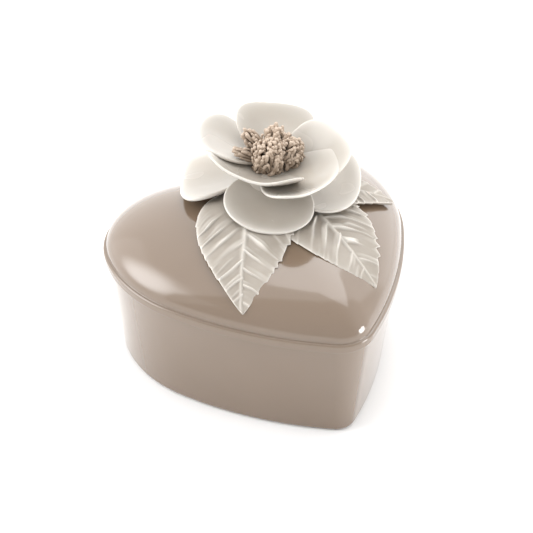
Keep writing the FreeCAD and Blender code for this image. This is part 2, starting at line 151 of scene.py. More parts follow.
def new_mesh(name, points, faces, material, shades=None):
    """A smooth mesh object from points in millimetres. The shades, one number
    per point, become the colour attribute "shade" that the materials read."""
    mesh = bpy.data.meshes.new(name)
    mesh.from_pydata([tuple(point) for point in np.asarray(points) * MM], [], faces)
    mesh.validate()
    mesh.polygons.foreach_set("use_smooth", [True] * len(mesh.polygons))
    if shades is not None:
        colours = mesh.color_attributes.new("shade", "FLOAT_COLOR", "POINT")
        values = np.ones((len(shades), 4))
        values[:, :3] = np.asarray(shades)[:, None]
        colours.data.foreach_set("color", values.ravel())
    mesh.materials.append(material)
    thing = bpy.data.objects.new(name, mesh)
    bpy.context.collection.objects.link(thing)
    return thing


def skin_rings(rings, first_point=None, last_point=None):
    """Points and faces of a surface through closed rings of equal length. A ring
    end is closed by a fan to a point, if one is given."""
    count = len(rings[0])
    points = list(np.vstack(rings))
    faces = []
    for ring in range(len(rings) - 1):
        low = ring * count
        high = low + count
        for spot in range(count):
            after = (spot + 1) % count
            faces.append((low + spot, low + after, high + after, high + spot))
    for ring, point in ((0, first_point), (len(rings) - 1, last_point)):
        if point is None:
            continue
        tip = len(points)
        points.append(np.asarray(point))
        for spot in range(count):
            after = (spot + 1) % count
            edge = (ring * count + spot, ring * count + after)
            faces.append((edge[1], edge[0], tip) if ring == 0 else (edge[0], edge[1], tip))
    return points, faces


def turn_about(axis, degrees):
    """Rotation matrix about the X, Y or Z axis."""
    angle = math.radians(degrees)
    cosine = math.cos(angle)
    sine = math.sin(angle)
    if axis == "X":
        return np.array([[1, 0, 0], [0, cosine, -sine], [0, sine, cosine]])
    if axis == "Y":
        return np.array([[cosine, 0, sine], [0, 1, 0], [-sine, 0, cosine]])
    return np.array([[cosine, -sine, 0], [sine, cosine, 0], [0, 0, 1]])


def aim(azimuth, pitch, roll):
    """Turns a piece that grows along +Y towards its azimuth, pitched and rolled."""
    return turn_about("Z", azimuth - 90) @ turn_about("X", pitch) @ turn_about("Y", roll)


NOISE_WAVES = 6
NOISE_SPAN = 3.5


def soft_noise(x, y, size, seed):
    """Smooth wandering between about -1 and 1, with features of the given size:
    a sum of waves in random directions."""
    source = np.random.default_rng(seed)
    total = np.zeros_like(np.asarray(x, dtype=float))
    for _ in range(NOISE_WAVES):
        angle = source.uniform(0, 2 * math.pi)
        pace = 2 * math.pi / (size * source.uniform(0.8, 2.0))
        phase = source.uniform(0, 2 * math.pi)
        total += np.sin((x * math.cos(angle) + y * math.sin(angle)) * pace + phase)
    return total / NOISE_SPAN


# ---------------------------------------------------------------------------
# Heart outline
# ---------------------------------------------------------------------------

POINTS_PER_ARC = (24, 60, 24, 64, 24, 64, 24, 60)


def heart_arcs():
    """Centre, radius, sense of curvature, start and end angle of the eight arcs."""
    lobe_x = SHOULDER_X + (SHOULDER_RADIUS - LOBE_RADIUS) * math.cos(LOBE_ANGLE)
    lobe_y = SHOULDER_Y + (SHOULDER_RADIUS - LOBE_RADIUS) * math.sin(LOBE_ANGLE)
    side_x = SHOULDER_X - (SIDE_RADIUS - SHOULDER_RADIUS) * math.cos(SIDE_ANGLE)
    side_y = SHOULDER_Y - (SIDE_RADIUS - SHOULDER_RADIUS) * math.sin(SIDE_ANGLE)
    tip_y = side_y - math.sqrt((SIDE_RADIUS - TIP_RADIUS) ** 2 - side_x ** 2)
    notch_y = lobe_y + math.sqrt((LOBE_RADIUS + NOTCH_RADIUS) ** 2 - lobe_x ** 2)
    tip_end = math.atan2(tip_y - side_y, -side_x)
    lobe_end = math.atan2(notch_y - lobe_y, -lobe_x)
    notch_end = lobe_end - math.pi
    turn = math.pi
    return [
        ((0.0, tip_y), TIP_RADIUS, -1, -turn - tip_end, tip_end),
        ((side_x, side_y), SIDE_RADIUS, -1, tip_end, SIDE_ANGLE),
        ((SHOULDER_X, SHOULDER_Y), SHOULDER_RADIUS, -1, SIDE_ANGLE, LOBE_ANGLE),
        ((lobe_x, lobe_y), LOBE_RADIUS, -1, LOBE_ANGLE, lobe_end),
        ((0.0, notch_y), NOTCH_RADIUS, 1, notch_end, -turn - notch_end),
        ((-lobe_x, lobe_y), LOBE_RADIUS, -1, turn - lobe_end, turn - LOBE_ANGLE),
        ((-SHOULDER_X, SHOULDER_Y), SHOULDER_RADIUS, -1, turn - LOBE_ANGLE, turn - SIDE_ANGLE),
        ((-side_x, side_y), SIDE_RADIUS, -1, turn - SIDE_ANGLE, turn - tip_end),
    ]


def heart_ring(inset, height):
    """The heart outline moved inward by the inset, as a ring at one height."""
    ring = []
    for ((x, y), radius, sense, start, end), count in zip(heart_arcs(), POINTS_PER_ARC):
        for step in range(count):
            angle = start + (end - start) * step / count
            reach = radius + sense * inset
            ring.append((x + reach * math.cos(angle), y + reach * math.sin(angle), height))
    return np.array(ring)


def quarter(count):
    """Pairs of sine and cosine over a quarter turn, for rounded edges."""
    angles = [0.5 * math.pi * step / count for step in range(count + 1)]
    return [(math.sin(angle), math.cos(angle)) for angle in angles]


# ---------------------------------------------------------------------------
# Base and lid
# ---------------------------------------------------------------------------


# Rings close to a rounded edge keep the flat beside it from shading as if round.
EDGE_SUPPORT = 0.25
EDGE_STEPS = 8
SOFT_EDGE_STEPS = 6
WALL_STEPS = 12
INNER_WALL_STEPS = 8


def base_profile():
    """Inset and height, from the recess under the foot up the outside, over the
    rim and down the inside to the floor."""
    def outside(height):
        return LID_OVERHANG + (RIM_HEIGHT - height) * BASE_TAPER

    profile = [(FOOT_INSET + RECESS_RING, FOOT_RECESS),
               (FOOT_INSET + RECESS_EDGE, FOOT_RECESS),
               (FOOT_INSET, FOOT_RECESS - RECESS_EDGE),
               (FOOT_INSET, FOOT_EDGE),
               (FOOT_INSET - FOOT_EDGE, 0.0)]
    for sine, cosine in quarter(EDGE_STEPS):
        height = FOOT_ROUNDING * (1 - cosine)
        profile.append((outside(FOOT_ROUNDING) + FOOT_ROUNDING * (1 - sine), height))
    wall_foot = FOOT_ROUNDING + EDGE_SUPPORT
    wall_head = RIM_HEIGHT - RIM_ROUNDING - EDGE_SUPPORT
    for step in range(WALL_STEPS + 1):
        height = wall_foot + (wall_head - wall_foot) * step / WALL_STEPS
        profile.append((outside(height), height))
    for sine, cosine in quarter(EDGE_STEPS):
        height = RIM_HEIGHT - RIM_ROUNDING * (1 - sine)
        profile.append((outside(height) + RIM_ROUNDING * (1 - cosine), height))
    for sine, cosine in quarter(SOFT_EDGE_STEPS):
        profile.append((LID_OVERHANG + WALL - RIM_ROUNDING * (1 - sine),
                        RIM_HEIGHT - RIM_ROUNDING * (1 - cosine)))
    inner_head = RIM_HEIGHT - RIM_ROUNDING
    inner_foot = WALL + FLOOR_ROUNDING
    for step in range(1, INNER_WALL_STEPS + 1):
        height = inner_head + (inner_foot - inner_head) * step / INNER_WALL_STEPS
        profile.append((outside(height) + WALL, height))
    for sine, cosine in quarter(SOFT_EDGE_STEPS):
        profile.append((outside(inner_foot) + WALL + FLOOR_ROUNDING * (1 - cosine),
                        WALL + FLOOR_ROUNDING * (1 - sine)))
    return profile


def make_base(material):
    """The glazed base, skinned over the heart rings of its profile."""
    rings = [heart_ring(inset, height) for inset, height in base_profile()]
    points, faces = skin_rings(rings, (0, 0, FOOT_RECESS), (0, 0, WALL))
    base = new_mesh("base_body", points, faces, material)
    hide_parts("box_base")
    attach(base, "base")
    return base


def dome_ring(inset, turn, rise):
    """A ring of the dome where its section has turned from upright towards level."""
    power = 2 / DOME_FULLNESS
    reach = math.cos(turn) ** power
    height = PARTING_HEIGHT + BAND_HEIGHT + rise * math.sin(turn) ** power
    share = DOME_CIRCLE_SHARE * (1 - reach)
    circle = DOME_CIRCLE_RADIUS - (inset - CREASE_INSET)
    ring = heart_ring(inset, height)
    away = np.hypot(ring[:, 0], ring[:, 1])
    grow = reach * ((1 - share) + share * circle / away)
    ring[:, 0] *= grow
    ring[:, 1] = ring[:, 1] * grow + DOME_SHIFT_Y * (1 - reach)
    return ring


DOME_LEVELS = 48
HOLLOW_LEVELS = 24
DOME_SPACING = 1.15


def lid_rings():
    """Rings from the top of the hollow, down the lip, round the band, up the dome."""
    lip_inset = LID_OVERHANG + WALL + LIP_CLEARANCE
    hollow = lip_inset + LIP_THICKNESS
    band_top = PARTING_HEIGHT + BAND_HEIGHT
    inner_rise = DOME_HEIGHT - DOME_WALL
    rings = []
    for level in range(HOLLOW_LEVELS - 1, -1, -1):
        turn = math.radians(90) * level / HOLLOW_LEVELS
        rings.append(dome_ring(hollow + LIP_EDGE, turn, inner_rise))
    lip_foot = PARTING_HEIGHT - LIP_DEPTH
    profile = [(hollow, band_top - LIP_EDGE),
               (hollow, lip_foot + LIP_EDGE),
               (hollow - LIP_EDGE, lip_foot),
               (lip_inset + LIP_EDGE, lip_foot),
               (lip_inset, lip_foot + LIP_EDGE),
               (lip_inset, PARTING_HEIGHT - CORNER_RELIEF),
               (lip_inset - CORNER_RELIEF, PARTING_HEIGHT)]
    for sine, cosine in quarter(EDGE_STEPS):
        profile.append((BAND_FOOT_ROUNDING * (1 - sine),
                        PARTING_HEIGHT + BAND_FOOT_ROUNDING * (1 - cosine)))
    profile.append((0.0, PARTING_HEIGHT + BAND_FOOT_ROUNDING + EDGE_SUPPORT))
    profile.append((0.0, band_top - BAND_ROUNDING - EDGE_SUPPORT))
    for sine, cosine in quarter(EDGE_STEPS):
        profile.append((BAND_ROUNDING * (1 - cosine),
                        band_top - BAND_ROUNDING * (1 - sine)))
    rings.extend(heart_ring(inset, height) for inset, height in profile)
    for level in range(DOME_LEVELS):
        turn = math.radians(90) * (level / DOME_LEVELS) ** DOME_SPACING
        rings.append(dome_ring(CREASE_INSET, turn, DOME_HEIGHT))
    return rings


def make_lid(material):
    """The glazed lid: hollow, lip, band and dome in one skin."""
    apex = PARTING_HEIGHT + BAND_HEIGHT + DOME_HEIGHT
    points, faces = skin_rings(lid_rings(), (0, DOME_SHIFT_Y, apex - DOME_WALL),
                               (0, DOME_SHIFT_Y, apex))
    lid = new_mesh("lid_body", points, faces, material)
    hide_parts("lid_shell")
    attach(lid, "lid")
    return lid


# ---------------------------------------------------------------------------
# Petals
# ---------------------------------------------------------------------------

PETAL_SPOTS = 140
PETAL_RINGS = 34
FIRST_RING = 0.06
RIM_STEPS = 8
HEART_SHARE = 0.55
RIM_WANDER = 0.012
RIPPLE = 0.35
FLARE = 0.5
FLARE_START = 0.8
RIM_PALENESS = 6


def petal_surface(petal, spread, angle, seed):
    """Points of a petal's middle surface: spread is the share of the way from its
    heart to its rim, and angle runs round it from the base."""
    along = (1 - np.cos(angle)) / 2
    swell = np.abs(np.sin(angle)) ** PETAL_SQUARENESS * (1 - petal.bias * np.cos(angle))
    rim_x = np.sign(np.sin(angle)) * petal.width / 2 * swell
    rim_y = petal.length * along
    wander = soft_noise(np.cos(angle) * 20, np.sin(angle) * 20, 22, seed)
    outward = 1 + RIM_WANDER * wander * along
    heart_y = petal.length * HEART_SHARE
    x = spread * rim_x * outward
    y = heart_y + spread * (rim_y * outward - heart_y)
    y = y + petal.lean * x * y / petal.length
    outer = np.clip(y / petal.length, 0, 1)
    bowl = petal.cup - np.sqrt(np.maximum(petal.cup ** 2 - x ** 2 - y ** 2, 1.0))
    ripple = RIPPLE * soft_noise(x, y, 16, seed + 50) * outer
    flare = -FLARE * np.clip((spread - FLARE_START) / (1 - FLARE_START), 0, 1) ** 2
    return x, y, bowl + ripple + flare * outer


def make_petal(name, petal, seed, material):
    """A thin cupped sheet with a rounded rim, skinned from its middle out over
    the rim and back underneath. Its shade rises towards the rim."""
    angles = np.linspace(0, 2 * math.pi, PETAL_SPOTS, endpoint=False)
    half = PETAL_THICKNESS / 2
    rim_share = 2 * half / min(petal.length, petal.width)
    turn = aim(petal.azimuth, petal.pitch, petal.roll)
    azimuth = math.radians(petal.azimuth)
    home = FLOWER + np.array([petal.start * math.cos(azimuth),
                              petal.start * math.sin(azimuth), petal.level])

    def placed(spread, offset):
        x, y, z = petal_surface(petal, spread, angles, seed)
        return np.c_[x, y, z + offset - half] @ turn.T + home

    def thickness(spread):
        past = max(0.0, (spread - (1 - rim_share)) / rim_share)
        return half * math.sqrt(max(0.0, 1 - past ** 2))

    spreads = list(np.linspace(FIRST_RING, 1 - rim_share, PETAL_RINGS))
    spreads += [1 - rim_share * (1 - math.sin(0.5 * math.pi * step / RIM_STEPS))
                for step in range(1, RIM_STEPS)]
    rings = [placed(spread, thickness(spread)) for spread in spreads]
    rings.append(placed(1.0, 0.0))
    rings.extend(placed(spread, -thickness(spread)) for spread in reversed(spreads))
    middle = np.concatenate(petal_surface(petal, np.zeros(1), np.zeros(1), seed))
    top = middle @ turn.T + home
    bottom = (middle - [0, 0, PETAL_THICKNESS]) @ turn.T + home
    points, faces = skin_rings(rings, top, bottom)
    shades = []
    along = (1 - np.cos(angles)) / 2
    for spread in spreads + [1.0] + spreads[::-1]:
        shades.extend(spread ** RIM_PALENESS * np.clip(along * 1.6, 0, 1))
    shades.extend([0.0, 0.0])
    thing = new_mesh(f"{name}_shape", points, faces, material, shades)
    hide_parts(name)
    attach(thing, "lid")
    return thing


# ---------------------------------------------------------------------------
# Leaves
# ---------------------------------------------------------------------------

LEAF_ROWS = 260
LEAF_COLUMNS = 90
LEAF_START = 0.004
LEAF_TAPER = 0.75
LEAF_FULLNESS = 0.85
LEAF_NARROWING = 0.15
EDGE_SWEEP = 0.12
SIDE_FOLD = 0.10
EDGE_WAVE = 0.5
EDGE_SHARPNESS = 16
EDGE_DROP = 0.4
EDGE_THICKNESS = 0.35

TEETH = 12
TOOTH_DEPTH = 1.3
TOOTH_CURVE = 1.5
TOOTH_LEVEL = 0.4
TOOTH_STRENGTHS = (0.3, 1.15)

MIDRIB_HEIGHT = 1.25
MIDRIB_WIDTH = 1.15
MIDRIB_TAPER = 0.7
MIDRIB_SWAY = 0.8
VEIN_SPACING = 7.6
VEIN_SLOPE = 0.75
VEIN_CURVE = 0.016
VEIN_STAGGER = 0.45
VEIN_HEIGHT = 1.5
VEIN_WIDTH = 0.55
SWELL_HEIGHT = 0.65
SWELL_PHASE = 1.1
WRINKLE_HEIGHT = 0.95

# The leaf's shade attribute is painted light: a painted highlight that rises with the vein relief
# on the ridges, and painted shade in the hollows. It is also raised at the paler edge.
HOLLOW_DEPTH = 0.3
RIDGE_SPAN = 1.3
RIDGE_CONTRAST = 1.3
LEAF_EDGE_PALENESS = 0.9


def leaf_half_width(along, width, seed, side):
    """Half the leaf's width, with ragged saw teeth that point to the tip. The
    teeth are small on side 0 and deep on side 1."""
    smooth = np.maximum(0.0, np.sin(math.pi * along ** LEAF_TAPER)) ** LEAF_FULLNESS
    smooth = smooth * (1 - LEAF_NARROWING * along)
    place = along * 60
    phase = along * (TEETH + side) + 0.8 * soft_noise(place, 0, 14, seed + side)
    saw = phase - np.floor(phase)
    bite = saw ** TOOTH_CURVE - TOOTH_LEVEL
    strength = np.clip(along * 5 - 0.8, 0, 1) * np.clip((0.96 - along) * 10, 0, 1)
    rough = 0.7 + 0.6 * soft_noise(place, 9, 12, seed + 7 + side)
    rough = rough * TOOTH_STRENGTHS[side]
    return width / 2 * smooth + TOOTH_DEPTH * bite * strength * rough


def vein_relief(x, y, length, seed):
    """Height of the raised midrib, side veins and wrinkles over the leaf's sheet.
    It fades in from the base, which lies under the flower."""
    along = np.clip(y / length, 0, 1)
    side = np.abs(x)
    bend = x - MIDRIB_SWAY * np.sin(along * 5 + seed)
    taper = MIDRIB_TAPER * along
    midrib = MIDRIB_HEIGHT * (1 - taper) * np.exp(-(bend / (MIDRIB_WIDTH - taper)) ** 2)
    shifted = y - VEIN_SLOPE * side - VEIN_CURVE * side ** 2
    shifted = shifted + np.where(x > 0, VEIN_STAGGER * VEIN_SPACING, 0.0)
    shifted = shifted + 2.0 * soft_noise(x, y, 30, seed) + 0.35 * soft_noise(x, y, 7, seed + 1)
    phase = shifted / VEIN_SPACING
    gap = (phase - np.round(phase)) * VEIN_SPACING
    fade = np.clip(1.05 - along, 0, 1) ** 0.5 * np.clip(1.25 - side / 18, 0.25, 1)
    strong = np.clip(0.7 + 0.9 * soft_noise(x, y, 14, seed + 3), 0.05, 1.4)
    ridge = VEIN_HEIGHT * strong * np.exp(-(gap / VEIN_WIDTH) ** 2)
    uneven = 0.6 + 0.8 * soft_noise(x, y, 15, seed + 9)
    swell = SWELL_HEIGHT * np.cos(2 * math.pi * phase + SWELL_PHASE) * uneven
    furrow = soft_noise(0.45 * x, 1.8 * shifted, 5, seed + 5)
    wrinkle = WRINKLE_HEIGHT * furrow * np.clip(0.5 + soft_noise(x, y, 12, seed + 6), 0, 1)
    shown = np.clip(8 * along - 2.0, 0, 1)
    return shown * np.maximum(midrib, fade * (ridge + swell + wrinkle))


def make_leaf(name, leaf, seed, material):
    """A humped leaf: cross-sections along its length, top and underside. Its shade
    attribute is a painted highlight on the ridges, painted shade in the hollows, and high at the
    paler edge."""
    turn = aim(leaf.azimuth, leaf.pitch, leaf.roll)
    home = np.array([leaf.x, leaf.y, leaf.z])
    across = np.sin(np.linspace(-0.5 * math.pi, 0.5 * math.pi, LEAF_COLUMNS))
    depth = math.sqrt(leaf.hump ** 2 - leaf.crest ** 2)
    edge = np.sqrt(np.maximum(0.0, 1 - np.abs(across) ** EDGE_SHARPNESS))
    rings = []
    shades = []
    for row in range(LEAF_ROWS):
        along = LEAF_START + (1 - 2 * LEAF_START) * row / (LEAF_ROWS - 1)
        right = leaf_half_width(along, leaf.width, seed, 0)
        left = leaf_half_width(along, leaf.width, seed, 1)
        x = np.where(across > 0, across * right, across * left)
        y = along * leaf.length + EDGE_SWEEP * np.abs(x) * (along - 0.2)
        sheet = np.sqrt(leaf.hump ** 2 - x ** 2 - (y - leaf.crest) ** 2) - depth
        sheet = sheet + SIDE_FOLD * np.abs(x)
        sheet += EDGE_WAVE * soft_noise(x, y, 24, seed + 11) * np.clip(np.abs(x) / 12, 0, 1)
        relief = vein_relief(x, y, leaf.length, seed)
        top = sheet + relief * edge + EDGE_DROP * (edge - 1)
        under = sheet - EDGE_THICKNESS - (LEAF_THICKNESS - EDGE_THICKNESS) * edge
        upper = np.c_[x, y, top]
        lower = np.c_[x, y, under][::-1][1:-1]
        rings.append(np.vstack([upper, lower]) @ turn.T + home)
        # Painted highlight on the vein ridges and painted shade in the hollows; the edge is paler
        # too.
        high = np.clip((relief + HOLLOW_DEPTH) / RIDGE_SPAN, 0, 1) ** RIDGE_CONTRAST
        high = high + LEAF_EDGE_PALENESS * (1 - edge)
        shades.extend(np.r_[high, np.zeros(len(lower))])
    points, faces = skin_rings(rings, np.mean(rings[0], axis=0), np.mean(rings[-1], axis=0))
    shades.extend([0.0, 0.5])
    faces = [tuple(reversed(face)) for face in faces]
    thing = new_mesh(f"{name}_shape", points, faces, material, np.clip(shades, 0, 1))
    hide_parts(name)
    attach(thing, "lid")
    return thing


# ---------------------------------------------------------------------------
# Stamens
# ---------------------------------------------------------------------------

STRAND_SIDES = 8
STRAND_STEPS = 12
TIP_STEPS = 4
TIP_BLUNTNESS = 0.9
STRAND_LUMPS = 0.25
STRAND_SWELL = 0.25

# A tuft has few strands, nearly straight and all round its axis's upper half. A
# mass has many, curled, and reaches further down its egg.
TUFT_STRANDS = 40
TUFT_COVER = 0.9
TUFT_SCATTER = 0.1
TUFT_CURL = 0.1
MASS_COVER = 1.35
MASS_SCATTER = 0.6
MASS_CURLS = (0.6, 1.4)


def strand_rings(start, end, bow, curl, source):
    """Rings of one extruded strand of clay, bowed, curled, uneven, with a blunt
    end, and the share of its length at each point."""
    rings = []
    tone = []
    phase, twist, lump = source.uniform(0, 2 * math.pi, 3)
    line = end - start
    along = line / np.linalg.norm(line)
    side = np.cross(along, source.normal(size=3))
    side /= max(np.linalg.norm(side), 1e-6)
    other = np.cross(along, side)
    width = STRAND_RADIUS * source.uniform(0.8, 1.25)
    for step in range(STRAND_STEPS + TIP_STEPS):
        share = min(1.0, step / STRAND_STEPS)
        centre = start + line * share + bow * math.sin(math.pi * share)
        centre = centre + curl * share * (side * math.sin(7 * share + phase)
                                          + other * math.cos(6 * share + twist))
        radius = width * (1 + STRAND_LUMPS * math.sin(11 * share + lump)
                          + STRAND_SWELL * share ** 4)
        if step > STRAND_STEPS:
            past = (step - STRAND_STEPS) / TIP_STEPS
            centre = centre + along * radius * TIP_BLUNTNESS * past
            radius *= math.sqrt(1 - past ** 2)
        ring = []
        for spot in range(STRAND_SIDES):
            angle = 2 * math.pi * spot / STRAND_SIDES
            ring.append(centre + radius * (math.cos(angle) * side + math.sin(angle) * other))
        rings.append(np.array(ring))
        # The share along the strand becomes its shade: painted shade towards the root, a painted
        # highlight towards the end.
        tone.extend([share] * STRAND_SIDES)
    return rings, tone


def make_clump(name, clump, seed, material):
    """A bundle of strands that spread from one root to an egg-shaped crown. Their
    ends are spaced over the egg by the golden angle."""
    source = np.random.default_rng(seed)
    hinge = (turn_about("Z", clump.azimuth) @ turn_about("Y", clump.lean)
             @ turn_about("Z", -clump.azimuth))
    centre = np.array([clump.x, clump.y, clump.z])
    root = centre - hinge @ np.array([0, 0, clump.reach * 0.95])
    tuft = clump.strands < TUFT_STRANDS
    cover = TUFT_COVER if tuft else MASS_COVER
    scatter = TUFT_SCATTER if tuft else MASS_SCATTER
    golden = math.pi * (3 - math.sqrt(5))
    points = []
    faces = []
    shades = []
    for number in range(clump.strands):
        height = 1 - cover * (number + 0.5) / clump.strands
        spin = number * golden + source.uniform(-0.4, 0.4)
        flat = math.sqrt(max(0.0, 1 - height ** 2)) * clump.radius
        out = np.array([flat * math.cos(spin), flat * math.sin(spin), height * clump.reach])
        out = out * source.uniform(0.84, 1.08)
        end = centre + hinge @ out
        start = root + hinge @ (out * [0.45, 0.45, 0.0])
        bow = hinge @ (out * [0.25, 0.25, 0.0]) + source.normal(size=3) * scatter
        curl = TUFT_CURL if tuft else source.uniform(*MASS_CURLS)
        rings, tone = strand_rings(start, end, bow, curl, source)
        new_points, new_faces = skin_rings(rings, rings[0].mean(axis=0), rings[-1].mean(axis=0))
        shift = len(points)
        points.extend(new_points)
        faces.extend(tuple(corner + shift for corner in face) for face in new_faces)
        # Root caps get full painted shade and end caps the full painted highlight.
        shades.extend(tone + [0.0, 1.0])
    thing = new_mesh(f"{name}_strands", points, faces, material, shades)
    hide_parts(name)
    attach(thing, "lid")
    return thing


# ---------------------------------------------------------------------------
# Materials
# ---------------------------------------------------------------------------


def new_material(name):
    """A material with only its output and Principled shader; returns its parts."""
    material = bpy.data.materials.new(name)
    material.use_nodes = True
    nodes = material.node_tree.nodes
    return material, nodes, material.node_tree.links, nodes["Principled BSDF"]


def noise_node(nodes, links, scale, detail, roughness=0.5):
    """Noise over the object's own coordinates."""
    place = nodes.new("ShaderNodeTexCoord")
    noise = nodes.new("ShaderNodeTexNoise")
    noise.inputs["Scale"].default_value = scale
    noise.inputs["Detail"].default_value = detail
    noise.inputs["Roughness"].default_value = roughness
    links.new(place.outputs["Object"], noise.inputs["Vector"])
    return noise


def ramp_node(nodes, links, source, stops):
    """Colours along a value: stops are (position, colour)."""
    ramp = nodes.new("ShaderNodeValToRGB")
    elements = ramp.color_ramp.elements
    while len(elements) < len(stops):
        elements.new(0.5)
    for element, (position, colour) in zip(elements, stops):
        element.position = position
        element.color = (*colour, 1.0)
    links.new(source, ramp.inputs["Fac"])
    return ramp


def range_node(nodes, links, source, low, high):
    """Maps 0..1 to low..high."""
    change = nodes.new("ShaderNodeMapRange")
    change.inputs["To Min"].default_value = low
    change.inputs["To Max"].default_value = high
    links.new(source, change.inputs["Value"])
    return change


def add_bump(nodes, links, shader, source, strength, distance):
    """Puts a value on the shader as fine relief; the distance is in metres."""
    bump = nodes.new("ShaderNodeBump")
    bump.inputs["Strength"].default_value = strength
    bump.inputs["Distance"].default_value = distance
    links.new(source, bump.inputs["Height"])
    links.new(bump.outputs["Normal"], shader.inputs["Normal"])


def let_light_in(shader, weight, depth):
    """Lets light scatter a little way into thin pale clay, warm light furthest."""
    shader.inputs["Subsurface Weight"].default_value = weight
    shader.inputs["Subsurface Radius"].default_value = (1.0, 0.8, 0.6)
    shader.inputs["Subsurface Scale"].default_value = depth


def shade_node(nodes):
    """The "shade" colour attribute of the mesh."""
    attribute = nodes.new("ShaderNodeVertexColor")
    attribute.layer_name = "shade"
    return attribute


def mix_colours(nodes, links, factor, first, second):
    """Goes from a first colour, linked, to a second one, given, by a linked factor."""
    mix = nodes.new("ShaderNodeMix")
    mix.data_type = "RGBA"
    links.new(factor, mix.inputs["Factor"])
    links.new(first, mix.inputs["A"])
    mix.inputs["B"].default_value = (*second, 1.0)
    return mix


TAUPE = (0.162, 0.113, 0.076)
TAUPE_PALE = (0.174, 0.122, 0.083)
IVORY = (0.43, 0.396, 0.352)
IVORY_WARM = (0.40, 0.36, 0.31)
WHITE_EDGE = (0.60, 0.57, 0.525)
# Leaf colours: the hollow colour is painted shade, and the ridge colour is a painted highlight on
# the vein ridges that also colours the paler edge.
LEAF_CLAY = (0.31, 0.272, 0.23)
LEAF_HOLLOW_SHADE = (0.225, 0.19, 0.15)
LEAF_RIDGE_HIGHLIGHT_AND_EDGE = (0.64, 0.605, 0.555)
# Stamen clay: the dark colour is painted shade between the strands, and the pale one is a painted
# highlight on their ends.
CLAY = (0.28, 0.212, 0.157)
CLAY_ROOT_SHADE = (0.14, 0.095, 0.066)
CLAY_TIP_HIGHLIGHT = (0.50, 0.40, 0.315)
FLOOR_WHITE = (0.90, 0.90, 0.90)
FLOOR_PALE = (0.91, 0.91, 0.91)


def taupe_glaze():
    """Glossy taupe glaze with faint clouding and a hand-thrown waver."""
    material, nodes, links, shader = new_material("taupe_glaze")
    clouds = noise_node(nodes, links, scale=28.0, detail=2.0)
    tone = ramp_node(nodes, links, clouds.outputs["Fac"], [(0.3, TAUPE), (0.7, TAUPE_PALE)])
    links.new(tone.outputs["Color"], shader.inputs["Base Color"])
    speck = noise_node(nodes, links, scale=900.0, detail=2.0)
    gloss = range_node(nodes, links, speck.outputs["Fac"], low=0.10, high=0.17)
    links.new(gloss.outputs["Result"], shader.inputs["Roughness"])
    shader.inputs["IOR"].default_value = 1.6
    shader.inputs["Coat Weight"].default_value = 0.6
    shader.inputs["Coat Roughness"].default_value = 0.05
    waver = noise_node(nodes, links, scale=35.0, detail=1.5)
    add_bump(nodes, links, shader, waver.outputs["Fac"], strength=0.12, distance=0.001)
    return material


def petal_glaze():
    """Ivory satin glaze, whiter where the clay is thin at the rim."""
    material, nodes, links, shader = new_material("petal_glaze")
    clouds = noise_node(nodes, links, scale=60.0, detail=3.0)
    tone = ramp_node(nodes, links, clouds.outputs["Fac"], [(0.3, IVORY_WARM), (0.7, IVORY)])
    rim = shade_node(nodes)
    mix = mix_colours(nodes, links, rim.outputs["Color"], tone.outputs["Color"], WHITE_EDGE)
    links.new(mix.outputs["Result"], shader.inputs["Base Color"])
    speck = noise_node(nodes, links, scale=40.0, detail=1.0)
    gloss = range_node(nodes, links, speck.outputs["Fac"], low=0.20, high=0.32)
    links.new(gloss.outputs["Result"], shader.inputs["Roughness"])
    let_light_in(shader, weight=0.12, depth=0.0012)
    waver = noise_node(nodes, links, scale=55.0, detail=1.0)
    add_bump(nodes, links, shader, waver.outputs["Fac"], strength=0.15, distance=0.001)
    return material


def leaf_bisque():
    """Off-white clay with a painted highlight on the raised veins, painted shade in the hollows,
    and a paler edge.
    """
    material, nodes, links, shader = new_material("leaf_bisque")
    # Random clouding. Its darker end, left showing in the hollows, is also painted shade.
    clouds = noise_node(nodes, links, scale=90.0, detail=4.0)
    tone = ramp_node(nodes, links, clouds.outputs["Fac"], [(0.3, LEAF_HOLLOW_SHADE), (0.75, LEAF_CLAY)])
    high = shade_node(nodes)
    # The shade attribute lifts the leaf to the painted highlight on the ridges and to the paler
    # edge.
    mix = mix_colours(nodes, links, high.outputs["Color"], tone.outputs["Color"], LEAF_RIDGE_HIGHLIGHT_AND_EDGE)
    links.new(mix.outputs["Result"], shader.inputs["Base Color"])
    speck = noise_node(nodes, links, scale=500.0, detail=4.0)
    gloss = range_node(nodes, links, speck.outputs["Fac"], low=0.40, high=0.56)
    links.new(gloss.outputs["Result"], shader.inputs["Roughness"])
    let_light_in(shader, weight=0.1, depth=0.001)
    grain = noise_node(nodes, links, scale=420.0, detail=5.0, roughness=0.6)
    add_bump(nodes, links, shader, grain.outputs["Fac"], strength=0.25, distance=0.0005)
    return material


def stamen_bisque():
    """Unglazed tan clay, with painted shade between the strands towards their roots and a painted
    highlight on their ends.
    """
    material, nodes, links, shader = new_material("stamen_bisque")
    depth = shade_node(nodes)
    # Painted shade deep in the clump and a painted highlight on the strand ends, by the share
    # along each strand.
    tone = ramp_node(nodes, links, depth.outputs["Color"],
                     [(0.25, CLAY_ROOT_SHADE), (0.75, CLAY), (1.0, CLAY_TIP_HIGHLIGHT)])
    links.new(tone.outputs["Color"], shader.inputs["Base Color"])
    speck = noise_node(nodes, links, scale=700.0, detail=4.0)
    gloss = range_node(nodes, links, speck.outputs["Fac"], low=0.55, high=0.75)
    links.new(gloss.outputs["Result"], shader.inputs["Roughness"])
    grain = noise_node(nodes, links, scale=900.0, detail=4.0, roughness=0.6)
    add_bump(nodes, links, shader, grain.outputs["Fac"], strength=0.35, distance=0.0004)
    return material


